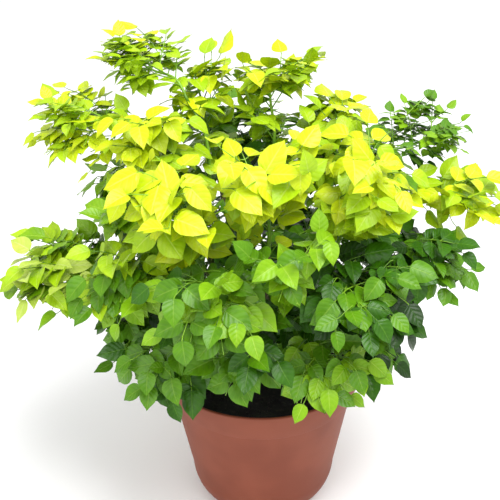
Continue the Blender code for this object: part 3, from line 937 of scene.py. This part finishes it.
@dataclass
class Limbs:
    """The seven stems and the long leaf stalks that leave them."""

    sides: int = 14
    fineness: int = 7
    bough_sides: int = 9
    bough_fineness: int = 6
    rough: float = 0.045
    routes: dict[str, list[Vector]] = field(default_factory=dict)
    ends: dict[str, tuple[Vector, Vector, float]] = field(default_factory=dict)

    def build(self) -> list[bpy.types.Object]:
        """Builds each stem with its bark's relief, then the boughs, and notes where masses start."""
        bark, stalk = YoungBark().make(), LeafStalk().make()
        made = []
        radii = stem_radii()
        for stem in STEMS:
            self.routes[stem.name] = stem_route(stem)
            fine = smoothed(self.routes[stem.name], self.fineness)
            joined = Joined()
            joined.take(tube(fine, spread(radii, self.fineness), self.sides, self.rough))
            made.append(shown(joined.bm, f"{stem.name}_bark", bark, [stem.name]))
        boughs = Joined()
        names = []
        bough_radii = taper(BOUGH_RADIUS, BOUGH_TIP_RADIUS, BOUGH_POINTS)
        for mass in MASSES:
            route, radius = self.routes[mass.stem], STEM_TIP_RADIUS
            if mass.inner:
                seat, out = stem_seat(mass, route, radii, centre_of(mass))
                self.ends[mass.name] = (seat - out * GAP, out, BOUGH_TIP_RADIUS)
                continue
            if mass.station is not None:
                route, radius = bough_route(mass, route, radii), BOUGH_TIP_RADIUS
                fine = smoothed(route, self.bough_fineness)
                fine_radii = spread(bough_radii, self.bough_fineness)
                boughs.take(tube(fine, fine_radii, self.bough_sides, self.rough / 2))
                names.append("bough_" + mass.name)
            self.ends[mass.name] = (route[-1], (route[-1] - route[-2]).normalized(), radius)
        made.append(shown(boughs.bm, "long_leaf_stalks", stalk, names))
        return made


class Space:
    """The room of one mass: a rounded block, cut back by a plane against each near neighbour."""

    def __init__(self, mass: Mass) -> None:
        """Places the space of a mass."""
        self.mass = mass
        self.centre = centre_of(mass)
        self.axes = axes_of(mass)
        self.halves = (mass.tier.length / 2, mass.tier.width / 2, mass.tier.depth / 2)
        self.planes: list[tuple[Vector, float]] = []

    def support(self, direction: Vector) -> float:
        """How far the space reaches from its centre in a direction, before it is cut back."""
        reach = [axis.dot(direction) * half for axis, half in zip(self.axes, self.halves)]
        return Vector(reach).length

    def part_from(self, other: "Space") -> None:
        """Adds the plane between this space and another that would overlap it."""
        way = other.centre - self.centre
        direction = way.normalized()
        mine, theirs = self.support(direction), other.support(-direction)
        if mine + theirs > way.length:
            share = mine / (mine + theirs)
            limit = self.centre.dot(direction) + way.length * share - CLEARANCE
            self.planes.append((direction, limit))

    def holds(self, point: Vector) -> bool:
        """Whether a point lies in this space."""
        offset = point - self.centre
        total = sum(
            abs(axis.dot(offset) / half) ** FULLNESS for axis, half in zip(self.axes, self.halves)
        )
        return total <= 1 and all(point.dot(normal) <= limit for normal, limit in self.planes)

    def way_out(self, start: Vector, direction: Vector, longest: float, steps: int = 24) -> float:
        """How far a straight twig can run from start before it leaves the space."""
        for step in range(1, steps + 1):
            if not self.holds(start + direction * longest * step / steps):
                return longest * (step - 1) / steps
        return longest


@dataclass(frozen=True)
class LeafForm:
    """One shape of leaflet, of length 1: how wide, folded, arched, cupped, twisted and wavy it is."""

    width: float
    fold: float
    arch: float
    cup: float
    twist: float
    wave: float
    along: int = 8
    across: int = 6
    thickness: float = 0.012
    base_power: float = 0.5
    tip_power: float = 0.92
    drip_start: float = 0.66
    drip_length: float = 0.26
    drip_depth: float = 0.42
    rim_angle: float = 100

    def outline(self, t: float) -> float:
        """Half the width at this share of the length: broad and round below, drawn out to a drip tip."""
        widest = self.base_power / (self.base_power + self.tip_power)
        peak = widest**self.base_power * (1 - widest) ** self.tip_power
        body = max(t, 0.0) ** self.base_power * max(1 - t, 0.0) ** self.tip_power / peak
        tip = max(0.0, min(1.0, (t - self.drip_start) / self.drip_length))
        return self.width / 2 * body * (1 - self.drip_depth * tip**1.5)

    def shaped(self, flat: Vector) -> Vector:
        """Where a point of the flat unit grid lies on the leaflet."""
        side = flat.x * 2
        t = 0.5 - 0.5 * cos(pi * (flat.y + 0.5))
        t = t * 0.6 + (flat.y + 0.5) * 0.4
        reach = side * self.outline(t)
        lift = abs(reach) * self.fold - self.cup * reach * reach * 4
        lift -= self.arch * t**1.8
        lift += self.wave * sin(t * 13 + side) * side * side * self.width * 0.5
        roll = self.twist * t
        return Vector((reach * cos(roll), t - self.arch * 0.35 * t * t, lift + reach * sin(roll)))

    def mesh(self, name: str) -> bpy.types.Mesh:
        """Builds the leaflet from a grid: both faces, closed along its margin.

        Args:
            name: the mesh's name.

        Returns:
            A mesh with its base at the origin, its tip along +Y and its upper face up.
        """
        bm = bmesh.new()
        bm.loops.layers.uv.new("leaf")
        bmesh.ops.create_grid(
            bm, x_segments=self.across, y_segments=self.along, size=0.5, calc_uvs=True
        )
        for vert in bm.verts:
            vert.co = self.shaped(vert.co)
        bm.normal_update()
        under = bmesh.ops.duplicate(bm, geom=bm.faces[:])
        back = [part for part in under["geom"] if isinstance(part, bmesh.types.BMFace)]
        rim = {vert for edge in bm.edges if edge.is_boundary for vert in edge.verts}
        for vert in {vert for face in back for vert in face.verts}:
            if vert not in rim:
                vert.co -= vert.normal * self.thickness
        bmesh.ops.reverse_faces(bm, faces=back)
        bmesh.ops.remove_doubles(bm, verts=bm.verts, dist=WELD * 10)
        for edge in bm.edges:
            if len(edge.link_faces) == 2 and edge.calc_face_angle(0) > radians(self.rim_angle):
                edge.smooth = False
        return as_mesh(bm, name)


FORMS = (
    LeafForm(0.70, 0.26, 0.16, 0.10, 0.08, 0.03),
    LeafForm(0.66, 0.40, 0.24, 0.00, -0.20, 0.04),
    LeafForm(0.76, 0.14, 0.10, 0.30, 0.05, 0.05),
    LeafForm(0.62, 0.48, 0.30, 0.10, 0.26, 0.03),
    LeafForm(0.68, 0.22, 0.04, 0.16, -0.10, 0.06),
    LeafForm(0.72, 0.32, 0.36, 0.05, 0.10, 0.04),
)


class Nursery:
    """Where twigs and leaflets of the whole plant are gathered, and no leaflet cuts another."""

    CELL = 0.03
    # The stand-in for a leaflet in this test: its base, sides and tip, as shares of its length.
    OUTLINE = ((0, 0.06, 0), (0.27, 0.34, 0.05), (0, 0.92, -0.08), (-0.27, 0.34, 0.05), (0, 0.4, 0))
    FACES = ((0, 1, 4), (1, 2, 4), (2, 3, 4), (3, 0, 4))

    def __init__(self) -> None:
        """Starts with no twigs and leaflets, and makes the leaflet shapes."""
        self.twigs = Joined()
        self.leaves = {tone: Joined() for tone in Tone}
        self.shapes = [form.mesh(f"leaf_form_{number}") for number, form in enumerate(FORMS)]
        self.cells: dict[tuple[int, int, int], list[BVHTree]] = {}

    def set_leaf(
        self, base: Vector, aim: Vector, face: Vector, size: float, tone: Tone, random: Random
    ) -> bool:
        """Adds a leaflet, unless it would cut one near it.

        Args:
            base: where its blade starts.
            aim: the way it points.
            face: the way that its upper face looks, as nearly as aim lets it.
            size: its length.
            tone: its age.
            random: draws its shape.

        Returns:
            Whether it was added.
        """
        across = aim.cross(face).normalized()
        turn = Matrix((across, aim, across.cross(aim))).transposed().to_4x4()
        place = Matrix.Translation(base) @ turn @ Matrix.Scale(size, 4)
        points = [place @ Vector(point) for point in self.OUTLINE]
        tree = BVHTree.FromPolygons(points, self.FACES)
        x, y, z = home = tuple(int(value // self.CELL) for value in points[4])
        steps = (-1, 0, 1)
        near = [(x + dx, y + dy, z + dz) for dx in steps for dy in steps for dz in steps]
        if any(tree.overlap(other) for cell in near for other in self.cells.get(cell, ())):
            return False
        self.cells.setdefault(home, []).append(tree)
        blade = random.choice(self.shapes).copy()
        blade.transform(place)
        self.leaves[tone].take(blade)
        return True


@dataclass
class Foliage:
    """Grows one mass: its own stem, forked side twigs in pairs, and leaflets in pairs along them.

    Lengths in metres, angles in degrees; a range is the least and the most of a draw.
    """

    space: Space
    limb_end: tuple[Vector, Vector, float]
    seed: int
    nursery: Nursery
    tries: int = 7
    swing: float = 0.22
    swing_more: float = 0.08
    shrink: float = 0.05
    leaf_stalk: tuple[float, float] = (0.08, 0.2)
    large_leaf: float = 0.02
    stem_end: float = 0.0006
    twig_end: float = 0.0003
    twig_start: float = 0.0004
    forked_twig_start: float = 0.00055
    pair_span: tuple[float, float] = (0.34, 0.56)
    twig_span: tuple[float, float] = (0.1, 0.82)
    twig_lean: tuple[float, float] = (45, 72)
    twig_roll: tuple[float, float] = (-25, 40)
    roll_spread: float = 25
    tip_leaves: int = 4
    tone_chance: float = 0.45
    tone_ages: tuple[float, float] = (0.3, 0.72)
    count: int = 0
    mass: Mass = field(init=False)
    random: Random = field(init=False)

    def __post_init__(self) -> None:
        """Takes the mass from its space and starts its draws."""
        self.mass = self.space.mass
        self.random = Random(self.seed)

    def own_stem(self) -> tuple[list[Vector], list[float]]:
        """The mass's own stem, from its limb's cap towards the far end of its space."""
        ahead, _, _ = self.space.axes
        tip, first, radius = self.limb_end
        start = tip + first * GAP
        far = self.space.centre + ahead * self.mass.tier.length / 2
        way = far - start
        end = start + way * (1 - self.mass.tier.leaf * 0.95 / way.length)
        pull = (end - start).length * 0.35
        route = bezier(start, start + first * pull, end - ahead * pull, end, OWN_STEM_POINTS)
        route[1] = start + first * (route[1] - start).length
        return smoothed(route, 5), spread(taper(radius, self.stem_end, OWN_STEM_POINTS), 5)

    def leaf(self, root: Vector, direction: Vector, tone: Tone, size: float) -> None:
        """One leaflet on its short stalk, hanging under its weight, its face out of the crown.

        Args:
            root: where its stalk leaves the twig.
            direction: the way it heads.
            tone: its age.
            size: its length.
        """
        outward = (root - CROWN_HEART).normalized()
        to_window = Vector((0, -1, 0)) * max(0.0, min(0.5, 0.25 - root.y * 4))
        for attempt in range(self.tries):
            swing = Vector([self.random.uniform(-1, 1) for _ in range(3)])
            swing *= self.swing + self.swing_more * attempt
            sag = Vector((0, 0, -self.random.uniform(*self.mass.tier.sag)))
            aim = (direction + sag + swing).normalized()
            face = outward * 0.6 + Vector((0, 0, 0.8)) + to_window + swing * 0.5
            stalk = size * self.random.uniform(*self.leaf_stalk)
            base = root + (direction + aim).normalized() * stalk
            length = size * (1 - self.shrink * attempt)
            if not self.space.holds(base + aim * length * 0.9):
                continue
            if self.nursery.set_leaf(base, aim, face, length, tone, self.random):
                thin = 0.00042 if size > self.large_leaf else 0.0003
                stalk_route = [root, base, base + aim * length * 0.05]
                self.nursery.twigs.take(tube(stalk_route, [thin, thin * 0.8, thin * 0.5], 4))
                self.count += 1
                return

    def spray_tone(self, age: float) -> Tone:
        """The tone of a spray from its age, 0 at the newest, with a little chance."""
        young, usual, old = self.mass.tones
        pick = age + self.random.uniform(-self.tone_chance, self.tone_chance)
        if pick < self.tone_ages[0]:
            return young
        return usual if pick < self.tone_ages[1] else old

    def side_twig(self, root: Vector, direction: Vector, age: float, forks: bool) -> None:
        """A side twig with leaflets in pairs and one at its tip, and side twigs of its own.

        Args:
            root: where it leaves.
            direction: the way it heads.
            age: 0 for the newest part of the mass, 1 for the oldest.
            forks: whether it carries side twigs of its own.
        """
        size = self.mass.leaflet
        room = self.space.way_out(root, direction, self.mass.tier.width)
        length = max(room - size * 0.75, size * 0.5)
        middle = root + direction * length * 0.5 + Vector((0, 0, length * 0.05))
        tip = root + direction * length - Vector((0, 0, length * 0.06))
        route = smoothed([root, middle, tip], 3)
        thick = self.forked_twig_start if forks else self.twig_start
        self.nursery.twigs.take(tube(route, taper(thick, self.twig_end, len(route)), 5))
        tone = self.spray_tone(age)
        side = direction.cross(UP).normalized()
        pairs = max(1, min(4, int(length / (size * 0.55))))
        for pair in range(pairs):
            place = along(route, self.pair_span[0] + self.pair_span[1] * pair / pairs)
            for hand in (-1, 1):
                way = (direction * 0.55 + side * hand).normalized()
                if forks and pair == 0 and length > size * 1.3:
                    fork = direction * 0.75 + side * hand * 0.8 + Vector((0, 0, 0.15))
                    self.side_twig(place, fork.normalized(), age, False)
                else:
                    self.leaf(place, way, tone, size * self.random.uniform(0.82, 1.05))
        self.leaf(tip, direction, tone, size * self.random.uniform(0.98, 1.15))

    def grow(self) -> None:
        """Builds the mass's stem, side twigs and leaflets."""
        route, radii = self.own_stem()
        self.nursery.twigs.take(tube(route, radii, 7))
        ahead, side, up = self.space.axes
        pairs = self.mass.tier.twig_pairs * 2 + 2
        for pair in range(pairs):
            share = self.twig_span[0] + self.twig_span[1] * pair / (pairs - 1)
            root = along(route, share)
            spin = self.random.uniform(-self.roll_spread, self.roll_spread)
            roll = radians(self.twig_roll[pair % 2] + spin)
            for hand in (-1, 1):
                lean = radians(self.random.uniform(*self.twig_lean))
                across = (side * cos(roll) + up * sin(roll)) * hand
                self.side_twig(root, ahead * cos(lean) + across * sin(lean), 1 - share, True)
        tip, way = route[-1], (route[-1] - route[-2]).normalized()
        for turn in range(self.tip_leaves):
            angle = tau * turn / self.tip_leaves + self.random.uniform(-0.4, 0.4)
            fan = way + (side * cos(angle) + up * sin(angle)) * 0.9
            root = tip - way * 0.002 * turn
            self.leaf(root, fan.normalized(), self.mass.tones[0], self.mass.leaflet)


@dataclass
class StemLeaves:
    """Short leafy twigs that leave a stem in a spiral between the masses, in the shade of the crown; their
    deep and dark tones are partly older leaflets and partly painted shade.
    """

    route: list[Vector]
    seed: int
    nursery: Nursery
    twigs: int = 12
    low: float = 0.2
    high: float = 0.98
    size: float = 0.022
    length: tuple[float, float] = (0.02, 0.036)
    thick: float = 0.0005
    turn: float = 137.5
    tries: int = 5
    # Deep and dark tones: partly older leaflets, partly painted shade under the crown.
    tones: tuple[Tone, ...] = (Tone.DEEP, Tone.DARK, Tone.MID)

    def point_at(self, share: float) -> Vector:
        """The point of the stem's centre line at this share of its height."""
        foot, tip = self.route[0].z, self.route[-1].z
        height = foot + (tip - foot) * share
        return next(
            a.lerp(b, (height - a.z) / (b.z - a.z))
            for a, b in zip(self.route, self.route[1:])
            if a.z <= height <= b.z
        )

    def grow(self) -> int:
        """Grows the twigs and returns the number of leaflets."""
        random = Random(self.seed)
        count = 0
        start = random.uniform(0, tau)
        for number in range(self.twigs):
            root = self.point_at(self.low + (self.high - self.low) * number / (self.twigs - 1))
            angle = start + number * radians(self.turn)
            way = Vector((cos(angle), sin(angle), random.uniform(0.1, 0.6))).normalized()
            tip = root + way * random.uniform(*self.length)
            twig = smoothed([root, root.lerp(tip, 0.5), tip], 2)
            self.nursery.twigs.take(tube(twig, [self.thick] * len(twig), 5))
            tone = random.choice(self.tones)
            side = way.cross(UP).normalized()
            for share, hand in ((0.6, -1), (0.7, 1), (1, 0)):
                base = root.lerp(tip, share)
                for _ in range(self.tries):
                    swing = Vector([random.uniform(-0.5, 0.5) for _ in range(3)])
                    aim = (way * 0.7 + side * hand + swing - Vector((0, 0, 0.3))).normalized()
                    face = Vector((0, -0.3, 1)) + way * 0.4 + swing
                    if self.nursery.set_leaf(base, aim, face, self.size, tone, random):
                        count += 1
                        break
        return count


@dataclass
class Crown:
    """All foliage: every mass grown in its own room, then joined by kind and tone."""

    limbs: Limbs
    first_seed: int = 40

    def build(self) -> list[bpy.types.Object]:
        """Grows the masses and makes the pieces."""
        spaces = [Space(mass) for mass in MASSES]
        for space in spaces:
            for other in spaces:
                if other is not space:
                    space.part_from(other)
        nursery = Nursery()
        for seed, space in enumerate(spaces, self.first_seed):
            growth = Foliage(space, self.limbs.ends[space.mass.name], seed, nursery)
            growth.grow()
            log.info("%s: %d leaflets", space.mass.name, growth.count)
        for seed, stem in enumerate(STEMS):
            inner = StemLeaves(self.limbs.routes[stem.name], seed, nursery)
            log.info("%s: %d leaflets", stem.name, inner.grow())
        names = [mass.name for mass in MASSES]
        stalk = LeafStalk().make()
        made = [shown(nursery.twigs.bm, "fine_leaf_stalks", stalk, names)]
        for blade in BLADES:
            bm = nursery.leaves[blade.tone].bm
            made.append(
                shown(bm, f"leaflets_{blade.tone.value}", blade.make(), names)
            )
        return made


@dataclass(frozen=True)
class SoftLight:
    """A square area light that faces the middle of the plant: its place, side and power in watts."""

    name: str
    place: tuple[float, float, float]
    size: float
    power: float

    def hang(self) -> None:
        """Adds the light to the scene."""
        data = bpy.data.lights.new(self.name, "AREA")
        data.energy = self.power
        data.size = self.size
        lamp = linked(self.name, data)
        lamp.location = self.place
        aim = CROWN_HEART - Vector(self.place)
        lamp.rotation_euler = aim.to_track_quat("-Z", "Y").to_euler()


@dataclass
class Studio:
    """The floor, the soft lights and the camera."""

    floor_size: float = 8.0
    sky: float = 0.8
    camera_place: tuple[float, float, float] = (-0.008, -0.647, 0.600)
    pitch: float = 60.0
    roll: float = -1.1
    focal_px: float = 983.0
    photo_px: float = 500.0
    sensor: float = 36.0
    lights: tuple[SoftLight, ...] = (
        SoftLight("key_light", (0.5, -0.5, 1.9), 1.2, 40),
        SoftLight("fill_light", (-0.9, -1.1, 1.3), 1.0, 8),
    )

    def build(self) -> None:
        """Sets up the floor, world, lights and camera."""
        scene = bpy.context.scene
        scene.view_settings.view_transform = "Standard"
        bm = bmesh.new()
        bmesh.ops.create_grid(bm, x_segments=1, y_segments=1, size=self.floor_size / 2)
        floor = linked("floor", as_mesh(bm, "floor"))
        floor.data.materials.append(PaperFloor().make())
        world = bpy.data.worlds.new("soft_room")
        world.use_nodes = True
        background = world.node_tree.nodes["Background"]
        background.inputs["Color"].default_value = (1, 1, 1, 1)
        background.inputs["Strength"].default_value = self.sky
        scene.world = world
        for light in self.lights:
            light.hang()
        data = bpy.data.cameras.new("camera")
        data.sensor_width = self.sensor
        data.lens = self.focal_px / self.photo_px * self.sensor
        camera = linked("camera", data)
        turn = Matrix.Rotation(radians(self.pitch), 4, "X") @ Matrix.Rotation(radians(self.roll), 4, "Z")
        camera.matrix_world = Matrix.Translation(self.camera_place) @ turn
        scene.camera = camera


def main() -> None:
    """Builds the pot, peat, limbs and crown in order, then the studio."""
    logging.basicConfig(level=logging.INFO, format="%(message)s")
    Pot().build()
    Peat().build()
    limbs = Limbs()
    limbs.build()
    Crown(limbs).build()
    Studio().build()


if __name__ == "__main__":
    main()
